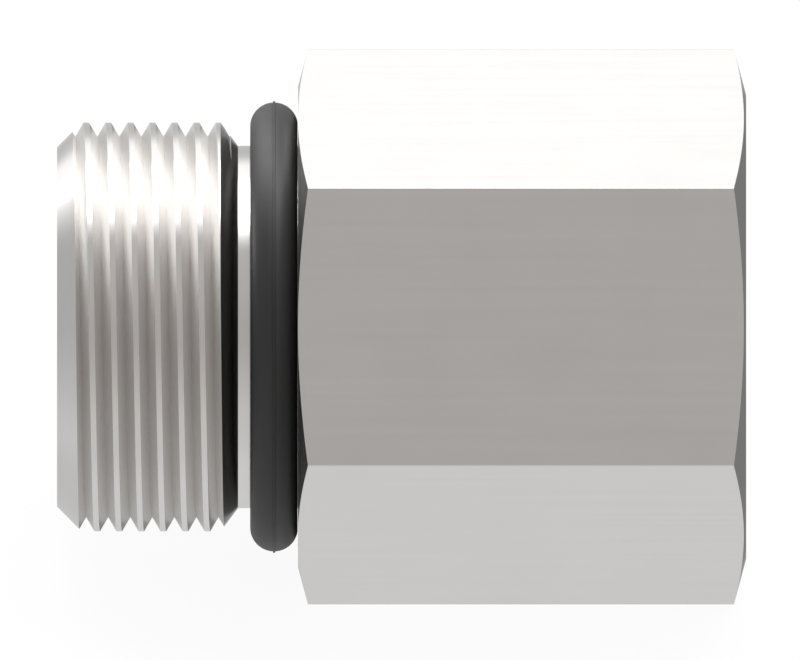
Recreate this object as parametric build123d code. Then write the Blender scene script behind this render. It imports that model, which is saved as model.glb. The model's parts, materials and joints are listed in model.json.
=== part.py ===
from build123d import *
import os
from math import cos, radians, tan

# A straight adapter fitting, in millimetres. One end is a threaded stud that screws into a
# machined boss and is sealed there by an O-ring, the other a female tapered pipe port.
# X is the axis. X = 0 is the shoulder that bears on the boss: the stud points to -X and the
# port opens to +X. Z is up, and the fitting lies on one flat of its hexagon.

# Hexagon, cut from bar
hex_across_flats = 22.225        # takes a 7/8 inch wrench
hex_length = 20.70               # from the shoulder to the port's face
hex_chamfer_angle = 15           # degrees, at both ends
port_face_diameter = 21.43       # the round flat that the chamfer leaves on the port's end

# Stud
stud_length = 11.13              # from the shoulder to the tip
stud_diameter = 18.88            # over the crests of a 3/4-16 thread
stud_tip_chamfer = 1.14          # at 45 degrees
neck_diameter = 16.74            # the plain neck that carries the O-ring
neck_room = 0.56                 # bare neck between the O-ring and the thread
neck_cone_angle = 53             # degrees from the axis, from the neck up to the thread

# O-ring, as it sits on the neck
ring_section = 2.21
ring_seat_squeeze = 0.21         # how far the neck flattens the ring's round section
ring_seat_clearance = 0.02       # between the flattened ring and the metal beside it
ring_flash_width = 0.15          # the moulding line round the ring's crown
ring_flash_height = 0.07

# Flow bore and port
flow_bore_diameter = 9.90
flow_bore_chamfer = 0.30         # at 45 degrees, at the stud's tip
port_drill_diameter = 14.68      # tap drill of a 3/8-18 tapered pipe thread
port_drill_depth = 17.00         # from the port's face to where the drill's point begins
port_mouth_diameter = 17.50      # the 45 degree countersink that starts the thread
drill_point_angle = 118

# Derived from the values above
neck_radius = neck_diameter / 2
stud_radius = stud_diameter / 2
neck_length = ring_section + neck_room
neck_cone_length = (stud_radius - neck_radius) / tan(radians(neck_cone_angle))
flow_bore_radius = flow_bore_diameter / 2
port_drill_radius = port_drill_diameter / 2
port_mouth_depth = (port_mouth_diameter - port_drill_diameter) / 2
drill_point_length = (port_drill_radius - flow_bore_radius) / tan(radians(drill_point_angle / 2))


def turned(points):
    """Turn a closed outline, given as (x, radius) points in order, about the X axis."""
    outline = make_face(Polyline(*points, close=True))
    return revolve(outline, axis=Axis.X)


def chamfered_hexagon():
    """The hexagon between its two end faces, its corners turned back by a cone at each end."""
    corner_radius = hex_across_flats / 2 / cos(radians(30))
    reach = corner_radius + 1        # the cones run on until they clear the corners
    slope = tan(radians(hex_chamfer_angle))
    shoulder_radius = hex_across_flats / 2
    port_face_radius = port_face_diameter / 2
    bar = extrude(
        Plane.YZ * RegularPolygon(hex_across_flats / 2, 6, major_radius=False), hex_length
    )
    envelope = turned([
        (0, 0),
        (0, shoulder_radius),
        ((reach - shoulder_radius) * slope, reach),
        (hex_length - (reach - port_face_radius) * slope, reach),
        (hex_length, port_face_radius),
        (hex_length, 0),
    ])
    return bar & envelope


def stud():
    """Neck, cone and threaded length, at the thread's outside diameter."""
    return turned([
        (0, 0),
        (0, neck_radius),
        (-neck_length, neck_radius),
        (-neck_length - neck_cone_length, stud_radius),
        (stud_tip_chamfer - stud_length, stud_radius),
        (-stud_length, stud_radius - stud_tip_chamfer),
        (-stud_length, 0),
    ])


def flow_way():
    """What the drills take out: the flow bore, then the port with its drill point and mouth."""
    port_floor = hex_length - port_drill_depth
    return turned([
        (-stud_length, 0),
        (-stud_length, flow_bore_radius + flow_bore_chamfer),
        (flow_bore_chamfer - stud_length, flow_bore_radius),
        (port_floor - drill_point_length, flow_bore_radius),
        (port_floor, port_drill_radius),
        (hex_length - port_mouth_depth, port_drill_radius),
        (hex_length, port_drill_radius + port_mouth_depth),
        (hex_length, 0),
    ])


def fitting_body():
    return chamfered_hexagon() + stud() - flow_way()


def o_ring():
    """The ring pressed into the corner of neck and shoulder, flattened where it meets them."""
    centre = (-ring_section / 2, neck_radius + ring_section / 2 - ring_seat_squeeze)
    section = Pos(*centre) * Circle(ring_section / 2)
    crown = centre[1] + ring_section / 2
    flash_foot = crown - ring_flash_height
    section += make_face(Polyline(
        (centre[0] - ring_flash_width / 2, flash_foot),
        (centre[0] - ring_flash_width / 4, crown + ring_flash_height),
        (centre[0] + ring_flash_width / 4, crown + ring_flash_height),
        (centre[0] + ring_flash_width / 2, flash_foot),
        close=True,
    ))
    free_corner = Pos(-ring_seat_clearance, neck_radius + ring_seat_clearance)
    section &= free_corner * Rectangle(
        2 * ring_section, 2 * ring_section, align=(Align.MAX, Align.MIN)
    )
    return revolve(section, axis=Axis.X)


nodes = {
    "fitting_body": fitting_body(),
    "o_ring": o_ring(),
}

os.makedirs("parts", exist_ok=True)
for name, solid in nodes.items():
    export_step(solid, f"parts/{name}.step")
    print(f"{name}: {solid.volume:.1f} cubic mm")
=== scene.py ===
import json
from math import acos, asin, cos, hypot, pi, radians, sin, tan, tau

import bmesh
import bpy
from mathutils import Matrix, Vector


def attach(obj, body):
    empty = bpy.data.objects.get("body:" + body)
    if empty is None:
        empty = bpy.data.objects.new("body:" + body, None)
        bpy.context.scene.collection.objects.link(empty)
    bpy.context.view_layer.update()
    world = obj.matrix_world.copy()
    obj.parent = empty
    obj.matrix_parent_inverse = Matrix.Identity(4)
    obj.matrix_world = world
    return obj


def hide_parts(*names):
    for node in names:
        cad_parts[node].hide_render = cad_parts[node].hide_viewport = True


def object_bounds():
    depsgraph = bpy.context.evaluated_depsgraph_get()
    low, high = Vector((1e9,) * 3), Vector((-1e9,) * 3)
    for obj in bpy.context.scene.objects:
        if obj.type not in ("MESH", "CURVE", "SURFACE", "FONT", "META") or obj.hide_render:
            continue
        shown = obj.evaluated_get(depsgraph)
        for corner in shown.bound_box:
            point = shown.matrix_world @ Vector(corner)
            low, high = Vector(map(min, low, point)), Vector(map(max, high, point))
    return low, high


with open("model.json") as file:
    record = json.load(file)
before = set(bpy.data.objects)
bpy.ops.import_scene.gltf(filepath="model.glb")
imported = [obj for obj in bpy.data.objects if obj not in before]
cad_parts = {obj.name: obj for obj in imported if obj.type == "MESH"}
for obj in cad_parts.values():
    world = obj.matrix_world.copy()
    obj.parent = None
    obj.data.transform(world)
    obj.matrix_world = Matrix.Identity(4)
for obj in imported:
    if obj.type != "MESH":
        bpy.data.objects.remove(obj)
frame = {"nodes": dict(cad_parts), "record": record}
cadLow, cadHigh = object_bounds()
mm = 0.001
mounts = {mount["name"]: mount for mount in frame["record"]["mounts"]}
print("frame loaded, nodes:", ", ".join(sorted(frame["nodes"])))


# Shader nodes: a socket that takes part in Python expressions.

class Wire:
    def __init__(self, tree, socket=None):
        self.tree, self.socket = tree, socket

    def make(self, kind, settings, inputs, output=0):
        # settings go on the node itself, inputs are values or wires for its sockets
        node = self.tree.nodes.new(kind)
        for key, value in settings.items():
            if key == "stops":
                ramp = node.color_ramp.elements
                while len(ramp) < len(value):
                    ramp.new(1)
                for stop, (place, shade) in zip(ramp, value):
                    stop.position, stop.color = place, (*shade, 1)
            else:
                setattr(node, key, value)
        for key, value in inputs.items():
            if isinstance(value, Wire):
                self.tree.links.new(value.socket, node.inputs[key])
            else:
                node.inputs[key].default_value = value
        return Wire(self.tree, node.outputs[output] if len(node.outputs) else None)

    def math(self, operation, first, second):
        return self.make("ShaderNodeMath", {"operation": operation}, {0: first, 1: second})

    def fade(self, value, start, end):
        # 0 up to start, 1 from end on
        return self.make("ShaderNodeMapRange", {"interpolation_type": "SMOOTHSTEP"},
                         {0: value, 1: start, 2: end})

    def __add__(self, other):
        return self.math("ADD", self, other)

    def __radd__(self, other):
        return self.math("ADD", other, self)

    def __sub__(self, other):
        return self.math("SUBTRACT", self, other)

    def __rsub__(self, other):
        return self.math("SUBTRACT", other, self)

    def __mul__(self, other):
        return self.math("MULTIPLY", self, other)

    def __rmul__(self, other):
        return self.math("MULTIPLY", other, self)


def emptyTree(owner):
    owner.use_nodes = True
    owner.node_tree.nodes.clear()
    return Wire(owner.node_tree)


# Lathe and screw-cutting tools. The fitting's axis is X, and sizes are in mm up to the finishes.

lathe = {
    "steps": 144,            # facets round every surface that is turned or screw-cut from metal
    "weld": 0.001,           # points closer than this are one
    "sharpEdge": 8,          # degrees, edges that turn more than this stay crisp
}


def weldInto(mesh, bm):
    bmesh.ops.remove_doubles(bm, verts=bm.verts, dist=lathe["weld"] * mm)
    bmesh.ops.recalc_face_normals(bm, faces=bm.faces)
    bm.to_mesh(mesh)
    bm.free()


def solidFrom(name, bm):
    mesh = bpy.data.meshes.new(name)
    weldInto(mesh, bm)
    solid = bpy.data.objects.new(name, mesh)
    bpy.context.scene.collection.objects.link(solid)
    return solid


def drawOutline(bm, points, closed=False):
    verts = [bm.verts.new((x * mm, 0, r * mm)) for x, r in points]
    ends = verts[1:] + verts[:1] if closed else verts[1:]
    return verts, [bm.edges.new(pair) for pair in zip(verts, ends)]


def turn(name, points, closed=False, steps=lathe["steps"]):
    # an outline of (x, radius) points in mm, either closed or with both ends on the axis
    bm = bmesh.new()
    verts, edges = drawOutline(bm, points, closed)
    bmesh.ops.spin(bm, geom=verts + edges, cent=(0, 0, 0), axis=(1, 0, 0), angle=tau,
                   steps=steps, use_merge=True)
    return solidFrom(name, bm)


def cutScrew(name, ridge, pitch, turns, startX, startAngle, taper=0):
    # a rod whose surface is one ridge, (x, radius) over one pitch, wound as a right-hand helix
    bm = bmesh.new()
    points = [(startX + n * pitch + x, r) for n in range(turns) for x, r in ridge]
    points.append((startX + turns * pitch + ridge[0][0], ridge[0][1]))
    verts, edges = drawOutline(bm, points)
    bmesh.ops.rotate(bm, verts=verts, cent=(0, 0, 0),
                     matrix=Matrix.Rotation(startAngle - pi / 2, 3, "X"))
    bmesh.ops.spin(bm, geom=verts + edges, cent=(0, 0, 0), axis=(1, 0, 0), angle=tau,
                   dvec=(pitch * mm / lathe["steps"], 0, 0), steps=lathe["steps"])
    bmesh.ops.remove_doubles(bm, verts=bm.verts, dist=lathe["weld"] * mm)
    for vert in bm.verts:
        vert.co.yz *= 1 + taper * vert.co.x / hypot(*vert.co.yz)
    rims = [edge for edge in bm.edges if edge.is_boundary]
    fans = bmesh.ops.extrude_edge_only(bm, edges=rims)["geom"]
    tips = [item for item in fans if isinstance(item, bmesh.types.BMVert)]
    middle = (startX + turns * pitch / 2) * mm
    sides = [[vert for vert in tips if (vert.co.x - middle) * end > 0] for end in (-1, 1)]
    for side in sides:
        x = sum(vert.co.x for vert in side) / len(side)
        bmesh.ops.pointmerge(bm, verts=side, merge_co=(x, 0, 0))
    return solidFrom(name, bm)


def combine(solid, tool, operation):
    step = solid.modifiers.new(operation.lower(), "BOOLEAN")
    step.object, step.operation, step.solver = tool, operation, "EXACT"
    depsgraph = bpy.context.evaluated_depsgraph_get()
    cut = bpy.data.meshes.new_from_object(solid.evaluated_get(depsgraph))
    bm = bmesh.new()
    bm.from_mesh(cut)
    weldInto(cut, bm)        # where two tools meet, slivers close up
    solid.modifiers.clear()
    solid.data, old = cut, solid.data
    bpy.data.meshes.remove(old)
    bpy.data.objects.remove(tool)
    return solid


def crisp(solid):
    # turned surfaces shade round, machined edges stay sharp
    solid.data.shade_smooth()
    solid.data.set_sharp_from_angle(angle=radians(lathe["sharpEdge"]))


# Hexagon, from drawn bar with its corners turned back at both ends.

hexagon = {
    "acrossFlats": (cadHigh.z - cadLow.z) / mm,
    "length": cadHigh.x / mm,
    "chamferAngle": 15,      # degrees, at both ends
    "portFaceDiameter": 21.43,          # the round flat that the chamfer leaves on the port's end
    "cornerRound": 0.05,
}


def makeHexagon():
    flats, length = hexagon["acrossFlats"] / 2, hexagon["length"]
    corner = flats / cos(pi / 6)
    bm = bmesh.new()
    lying = Matrix.Rotation(pi / 2, 4, "Y")
    bmesh.ops.create_circle(bm, cap_ends=True, segments=6, radius=corner * mm, matrix=lying)
    bar = bmesh.ops.extrude_face_region(bm, geom=bm.faces[:])["geom"]
    bmesh.ops.translate(bm, vec=(length * mm, 0, 0),
                        verts=[item for item in bar if isinstance(item, bmesh.types.BMVert)])
    long = [edge for edge in bm.edges if abs(edge.verts[0].co.x - edge.verts[1].co.x) > mm]
    bmesh.ops.bevel(bm, geom=long, offset=hexagon["cornerRound"] * mm, segments=3,
                    affect="EDGES", profile=0.5, material=-1)
    bar = solidFrom("hexagon", bm)
    reach = corner + 1       # the cones run on until they clear the corners
    slope = tan(radians(hexagon["chamferAngle"]))
    portFace = hexagon["portFaceDiameter"] / 2
    envelope = turn("envelope", [
        (0, 0), (0, flats), ((reach - flats) * slope, reach),
        (length - (reach - portFace) * slope, reach), (length, portFace), (length, 0)])
    return combine(bar, envelope, "INTERSECT")


# Stud: a screw-cut rod, turned down to its neck and chamfered at its tip.

stud = {
    "tip": cadLow.x / mm,
    "crestRadius": mounts["stud_thread"]["dims"]["r_mm"],
    "tipChamfer": 1.14,
    "neckRadius": 8.37,
    "neckLength": 2.77,
    "neckConeAngle": 53,
    "pitch": 1.0184,
    "flankAngle": 30,
    "crestFlat": 0.257,
    "rootX": -9.780,         # where the groove's bottom lies at rootAngle
    "rootAngle": 240,
    "rodTurns": 17,          # from past the tip into the hexagon
    "turnsBefore": 4,        # how many of them come before rootX
    "blankOver": 0.5,        # the blank stands clear of the crests and runs into the hexagon
}


def makeStud():
    crest, pitch, flat = stud["crestRadius"], stud["pitch"], stud["crestFlat"]
    root = crest - (pitch - flat) / 2 / tan(radians(stud["flankAngle"]))
    ridge = [(0, root), ((pitch - flat) / 2, crest), ((pitch + flat) / 2, crest)]
    start = stud["rootX"] - stud["turnsBefore"] * pitch
    rod = cutScrew("stud", ridge, pitch, stud["rodTurns"], start, radians(stud["rootAngle"]))
    tip, chamfer, over = stud["tip"], stud["tipChamfer"], stud["blankOver"]
    neck, length = stud["neckRadius"], stud["neckLength"]
    coneSlope = 1 / tan(radians(stud["neckConeAngle"]))
    blank = turn("blank", [
        (tip, 0), (tip, crest - chamfer), (tip + chamfer + over, crest + over),
        (-length - (crest + over - neck) * coneSlope, crest + over),
        (-length, neck), (over, neck), (over, 0)])
    return combine(rod, blank, "INTERSECT")


# Flow way: the drills, then a tap that cuts the tapered pipe thread from the port's face.

port = {
    "boreRadius": 4.95,
    "boreChamfer": 0.30,
    "drillRadius": mounts["port_thread"]["dims"]["r_mm"],
    "drillDepth": 17.00,
    "drillPointAngle": 118,
    "mouthRadius": 8.75,
    "pitch": 25.4 / 18,
    "rootRadius": 8.53,      # of the thread's groove, at the port's face
    "rootFlat": 0.10,
    "flankAngle": 30,
    "taper": 1 / 32,         # of the radius along the axis
    "fullDepth": 11.5,       # from the face, where the tap's own lead begins
    "tapDepth": 15.2,
    "tapTurns": 16,          # from below the lead out past the face
    "turnsBefore": 2,        # how many of them lie deeper than tapDepth
    "toolOver": 1,           # the tools run this far past the faces that they cut
    "leadClear": 0.2,        # the lead's cone stands this far clear of the full thread
    "leadInside": 0.1,       # and its point this far inside the drilled wall
}


def makeDrills():
    face, bore, drill = cadHigh.x / mm, port["boreRadius"], port["drillRadius"]
    tip, chamfer, mouth = cadLow.x / mm, port["boreChamfer"], port["mouthRadius"]
    floor, over = face - port["drillDepth"], port["toolOver"]
    point = (drill - bore) / tan(radians(port["drillPointAngle"] / 2))
    return turn("drills", [
        (tip - over, 0), (tip - over, bore + chamfer + over), (tip + chamfer, bore),
        (floor - point, bore), (floor, drill), (face - mouth + drill, drill),
        (face + over, mouth + over), (face + over, 0)])


def makeTap():
    face, pitch, flat, taper = cadHigh.x / mm, port["pitch"], port["rootFlat"], port["taper"]
    top = port["rootRadius"] - taper * face
    valley = top - (pitch - flat) / 2 / tan(radians(port["flankAngle"]))
    ridge = [(0, valley), ((pitch - flat) / 2, top), ((pitch + flat) / 2, top)]
    start, end, over = face - port["tapDepth"], face - port["fullDepth"], port["toolOver"]
    first = start - port["turnsBefore"] * pitch
    tap = cutScrew("tap", ridge, pitch, port["tapTurns"], first, 0, taper)
    point, full = port["drillRadius"] - port["leadInside"], port["rootRadius"] + port["leadClear"]
    lead = turn("lead", [
        (start, 0), (start, point), (end, full - taper * port["fullDepth"]),
        (face + over, full + taper * over), (face + over, 0)])
    return combine(tap, lead, "INTERSECT")


body = combine(makeHexagon(), makeStud(), "UNION")
body = combine(body, makeDrills(), "DIFFERENCE")
body = combine(body, makeTap(), "DIFFERENCE")
body.name = "adapter_body"
crisp(body)
print("body cut,", len(body.data.polygons), "faces")


# O-ring: a round section, pressed flat against neck and shoulder, with its moulding line.

ring = {
    "section": 2.21,
    "squeeze": 0.21,         # how far the neck flattens the section
    "clearance": 0.02,       # from the metal beside it
    "flashFoot": 0.112,      # width of the moulding line where it leaves the rubber
    "flashTop": 0.075,       # and at its crest
    "flashHeight": 0.07,
    "sectionSteps": 96,      # facets round the section
    "steps": 192,            # and round the ring
}


def arc(first, last, middle, radius):
    count = max(2, round(abs(last - first) / tau * ring["sectionSteps"]))
    angles = [first + (last - first) * step / count for step in range(count + 1)]
    return [(middle[0] + radius * cos(angle), middle[1] + radius * sin(angle)) for angle in angles]


def makeRing():
    radius, gap, neck = ring["section"] / 2, ring["clearance"], stud["neckRadius"]
    middle = (-radius, neck + radius - ring["squeeze"])
    crown = middle[1] + radius
    shoulderTouch = acos((radius - gap) / radius)
    neckTouch = asin((middle[1] - neck - gap) / radius)
    flash = acos(ring["flashFoot"] / 2 / radius)
    top = ring["flashTop"] / 2
    section = arc(shoulderTouch, flash, middle, radius)
    section += [(middle[0] + side * top, crown + ring["flashHeight"]) for side in (1, -1)]
    section += arc(pi - flash, pi + neckTouch, middle, radius)
    section += arc(-neckTouch, -shoulderTouch, middle, radius)
    return turn("o_ring_seal", section, True, ring["steps"])


seal = makeRing()
crisp(seal)
print("o-ring turned,", len(seal.data.polygons), "faces")


# Finishes, in metres. Steel has one for the bar's flats, one for what the lathe cut, one for the
# bore and one for the thread's flanks.

steel = {
    "shades": ((0.712, 0.698, 0.684, 1), (0.788, 0.772, 0.756, 1)),
    "cloudScale": 260,
    "layInGloss": 0.6,       # share of the tool marks in the roughness, the rest is cloud
    "layInShade": 0.5,
    "markDepth": 0.00002,
    "flats": {"roughness": (0.15, 0.22), "grain": (60, 2600, 2600), "bump": 0.02},
    "turned": {"roughness": (0.12, 0.18), "grain": (2400, 2400, 2400), "bump": 0.01},
    "bore": {"roughness": (0.22, 0.34), "grain": (3200, 3200, 3200), "bump": 0.04},
    "thread": {"roughness": (0.30, 0.38), "grain": (2400, 2400, 2400), "bump": 0.01},
}


def makeSteel(name, look):
    material = bpy.data.materials.new(name)
    bench = emptyTree(material)
    spot = bench.make("ShaderNodeTexCoord", {}, {}, "Object")
    place = spot
    if name != "flats":
        # lay of the lathe: the pattern knows only the place along the axis and the radius
        along = bench.make("ShaderNodeSeparateXYZ", {}, {0: spot}, "X")
        across = bench.make("ShaderNodeVectorMath", {"operation": "MULTIPLY"}, {0: spot, 1: (0, 1, 1)})
        radius = bench.make("ShaderNodeVectorMath", {"operation": "LENGTH"}, {0: across}, "Value")
        place = bench.make("ShaderNodeCombineXYZ", {}, {0: along, 1: radius})
    grained = bench.make("ShaderNodeVectorMath", {"operation": "MULTIPLY"}, {0: place, 1: look["grain"]})
    lay = bench.make("ShaderNodeTexNoise", {}, {"Vector": grained, "Scale": 1, "Detail": 2}, "Fac")
    cloud = bench.make("ShaderNodeTexNoise", {},
                       {"Vector": spot, "Scale": steel["cloudScale"], "Detail": 3}, "Fac")
    low, high = look["roughness"]
    share = steel["layInGloss"]
    worn = low + (high - low) * (share * lay + (1 - share) * cloud)
    dark, light = steel["shades"]
    share = steel["layInShade"]
    shade = bench.make("ShaderNodeMix", {"data_type": "RGBA"},
                       {0: share * lay + (1 - share) * cloud, 6: dark, 7: light}, 2)
    bump = bench.make("ShaderNodeBump", {},
                      {"Strength": look["bump"], "Distance": steel["markDepth"], "Height": lay})
    metal = bench.make("ShaderNodeBsdfPrincipled", {}, {
        "Base Color": shade, "Metallic": 1.0, "Roughness": worn, "Normal": bump})
    bench.make("ShaderNodeOutputMaterial", {}, {"Surface": metal})
    return material


rubber = {
    "shades": ((0.008, 0.008, 0.0083, 1), (0.013, 0.013, 0.0134, 1)),
    "mottleScale": 900,
    "roughness": (0.47, 0.56),
    "sheen": 0.64,           # specular level of smooth moulded rubber
    "grainScale": 9000,
    "grainDepth": 0.00003,
    "bump": 0.04,
}


def makeRubber():
    material = bpy.data.materials.new("rubber")
    bench = emptyTree(material)
    place = bench.make("ShaderNodeTexCoord", {}, {}, "Object")
    mottle = bench.make("ShaderNodeTexNoise", {},
                        {"Vector": place, "Scale": rubber["mottleScale"], "Detail": 4}, "Fac")
    grain = bench.make("ShaderNodeTexNoise", {},
                       {"Vector": place, "Scale": rubber["grainScale"], "Detail": 2}, "Fac")
    dark, light = rubber["shades"]
    shade = bench.make("ShaderNodeMix", {"data_type": "RGBA"}, {0: mottle, 6: dark, 7: light}, 2)
    low, high = rubber["roughness"]
    dull = low + (high - low) * mottle
    bump = bench.make("ShaderNodeBump", {},
                      {"Strength": rubber["bump"], "Distance": rubber["grainDepth"], "Height": grain})
    skin = bench.make("ShaderNodeBsdfPrincipled", {}, {
        "Base Color": shade, "Roughness": dull, "Specular IOR Level": rubber["sheen"], "Normal": bump})
    bench.make("ShaderNodeOutputMaterial", {}, {"Surface": skin})
    return material


def dressBody():
    finishes = ["turned", "flats", "bore", "thread"]
    for name in finishes:
        body.data.materials.append(makeSteel(name, steel[name]))
    flank = cos(radians(stud["flankAngle"]))
    bar, mouth, neck = hexagon["acrossFlats"] / 2 * mm, port["mouthRadius"] * mm, stud["neckLength"] * mm
    near = 0.01              # how closely a face has to point the way that is asked of it
    for face in body.data.polygons:
        outward = Vector((0, face.center.y, face.center.z))
        radius, facing = outward.length, face.normal.dot(outward.normalized())
        alongAxis = abs(face.normal.x)
        if alongAxis < near and radius > 0.999 * bar:
            finish = "flats"
        elif facing < -near and radius < mouth:
            finish = "bore"
        elif abs(alongAxis - flank) < 3 * near and cadLow.x < face.center.x < -neck:
            finish = "thread"
        else:
            finish = "turned"
        face.material_index = finishes.index(finish)


dressBody()
seal.data.materials.append(makeRubber())
for piece, node, finish in ((body, "fitting_body", "steel"), (seal, "o_ring", "seal_rubber")):
    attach(piece, "root")
    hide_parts(node)
print("finishes on")


# Floor, light tent, white backdrop and camera, in metres and degrees.

studio = {
    "floorSize": 0.8,
    "floorGlow": 0.94,       # share of the floor's white that no shadow can take away
    "floorWhite": (0.95, 0.95, 0.95, 1),
    "tentRadius": 1.0,
    "tentPanels": 24,        # round it, and half as many from pole to pole
    "brightest": 1.3,        # the wide soft box behind
    # brightness round the fitting's axis: the angle from the camera's side, up over the top
    "cloth": ((-180, 0.58), (-150, 0.62), (-108, 0.78), (-72, 0.79), (-47, 0.72), (-25, 0.70),
              (-8, 0.62), (6, 0.56), (20, 0.505), (33, 0.505), (46, 0.535), (62, 0.555), (82, 0.57),
              (93, 1.3), (155, 1.29), (168, 0.70), (180, 0.60)),
    "warmth": (1.0, 0.965, 0.94),       # of the camera's side only
    "warmAngle": 25,         # where it is warmest
    "warmSpread": 75,        # and how far from there it has faded
    "slant": 45,             # how far the overhead light leans over to the stud's side
    "stripAngle": 116,       # a narrow strip light in the soft box
    "stripLevel": 4.2,
    "stripEdge": (15, 24),   # to either side of it, where it begins to fade and where it ends
    "stripReach": (0.58, 0.78),         # the same towards its ends, 1 being along the fitting's axis
    "endLevels": (0.53, 0.88),          # seen along the axis, level with it and straight down
    "endEdge": (0.70, 0.91),            # where they begin and where they are full, 1 as above
    "cardTowards": (0.50, 0.74, -0.45), # a dark card low behind the port
    "cardLevel": 0.22,
    "cardEdge": (0.87, 0.95),
}


def glow(bench, level, tint=(1, 1, 1, 1)):
    return bench.make("ShaderNodeEmission", {}, {"Color": tint, "Strength": level})


def layer(bench, share, under, over):
    return bench.make("ShaderNodeMixShader", {}, {0: share, 1: under, 2: over})


def dressStage(bench, surface):
    bench.make("ShaderNodeOutputMaterial", {}, {"Surface": surface})


def makeFloor():
    bm = bmesh.new()
    low = Matrix.Translation((0, 0, cadLow.z))
    bmesh.ops.create_grid(bm, x_segments=1, y_segments=1, size=studio["floorSize"] / 2, matrix=low)
    floor = solidFrom("floor", bm)
    floor.data.materials.append(bpy.data.materials.new("floor"))
    bench = emptyTree(floor.active_material)
    matt = bench.make("ShaderNodeBsdfDiffuse", {}, {"Color": studio["floorWhite"]})
    dressStage(bench, layer(bench, studio["floorGlow"], matt, glow(bench, 1)))
    # it only catches the shadow: steel and rubber reflect the tent's lower half
    floor.visible_glossy = floor.visible_diffuse = floor.visible_transmission = False


def raiseTent():
    # a ball of lit cloth round the table gives all the light, and the camera looks in through it
    bm = bmesh.new()
    panels = studio["tentPanels"]
    bmesh.ops.create_uvsphere(bm, u_segments=panels, v_segments=panels // 2, radius=studio["tentRadius"])
    tent = solidFrom("tent", bm)
    tent.visible_camera = False
    tent.data.materials.append(bpy.data.materials.new("tent"))
    bench = emptyTree(tent.active_material)
    point = bench.make("ShaderNodeTexCoord", {}, {}, "Object")
    direction = bench.make("ShaderNodeVectorMath", {"operation": "NORMALIZE"}, {0: point})
    along = bench.make("ShaderNodeSeparateXYZ", {}, {0: direction}, "X")
    back = bench.make("ShaderNodeSeparateXYZ", {}, {0: direction}, "Y")
    up = bench.make("ShaderNodeSeparateXYZ", {}, {0: direction}, "Z")
    turned = bench.math("ARCTAN2", up, -1 * back)
    place = bench.math("FRACT", 0.5 + turned * (1 / tau) + along * (studio["slant"] / 360), 0)
    stops = []
    for angle, level in studio["cloth"]:
        warm = max(0, 1 - abs(angle - studio["warmAngle"]) / studio["warmSpread"])
        tint = [1 - warm * (1 - part) for part in studio["warmth"]]
        stops.append((0.5 + angle / 360, [level / studio["brightest"] * part for part in tint]))
    cloth = bench.make("ShaderNodeValToRGB", {"stops": stops}, {0: place})
    light = glow(bench, studio["brightest"], cloth)
    toEnd = bench.math("ABSOLUTE", along, 0)
    aside = bench.math("ABSOLUTE", (place - (0.5 + studio["stripAngle"] / 360)) * 360, 0)
    inner, outer = studio["stripEdge"]
    short, long = studio["stripReach"]
    inStrip = bench.fade(aside, outer, inner) * bench.fade(toEnd, long, short)
    light = layer(bench, inStrip, light, glow(bench, studio["stripLevel"]))
    level, below = studio["endLevels"]
    ends = layer(bench, bench.math("MAXIMUM", -1 * up, 0), glow(bench, level), glow(bench, below))
    light = layer(bench, bench.fade(toEnd, *studio["endEdge"]), light, ends)
    towards = bench.make("ShaderNodeVectorMath", {"operation": "DOT_PRODUCT"},
                         {0: direction, 1: studio["cardTowards"]}, "Value")
    inCard = bench.fade(towards, *studio["cardEdge"])
    light = layer(bench, inCard, light, glow(bench, studio["cardLevel"]))
    dressStage(bench, light)


def hangBackdrop():
    world = bpy.data.worlds.new("backdrop")
    bpy.context.scene.world = world
    bench = emptyTree(world)
    white = bench.make("ShaderNodeBackground", {}, {"Color": (1, 1, 1, 1), "Strength": 1})
    bench.make("ShaderNodeOutputWorld", {}, {"Surface": white})


photo = {
    "metresWide": 0.03695,   # what the frame's 800 pixels span
    "middleX": 0.004711,
    "drop": 0.000141,        # how far the frame's middle lies below the axis
    "elevation": 30,
    "distance": 0.3,
    "clip": (0.001, 10),
}


def placeCamera():
    lens = bpy.data.cameras.new("camera")
    lens.type, lens.ortho_scale = "ORTHO", photo["metresWide"]
    lens.clip_start, lens.clip_end = photo["clip"]
    camera = bpy.data.objects.new("camera", lens)
    bpy.context.scene.collection.objects.link(camera)
    tilt = radians(photo["elevation"])
    up = Vector((0, sin(tilt), cos(tilt)))
    outward = Vector((0, -cos(tilt), sin(tilt)))
    target = Vector((photo["middleX"], 0, 0)) - up * photo["drop"]
    camera.location = target + outward * photo["distance"]
    camera.rotation_euler = (pi / 2 - tilt, 0, 0)
    bpy.context.scene.camera = camera


makeFloor()
raiseTent()
hangBackdrop()
placeCamera()
bpy.context.scene.view_settings.view_transform = "Standard"
print("studio lit, camera placed")
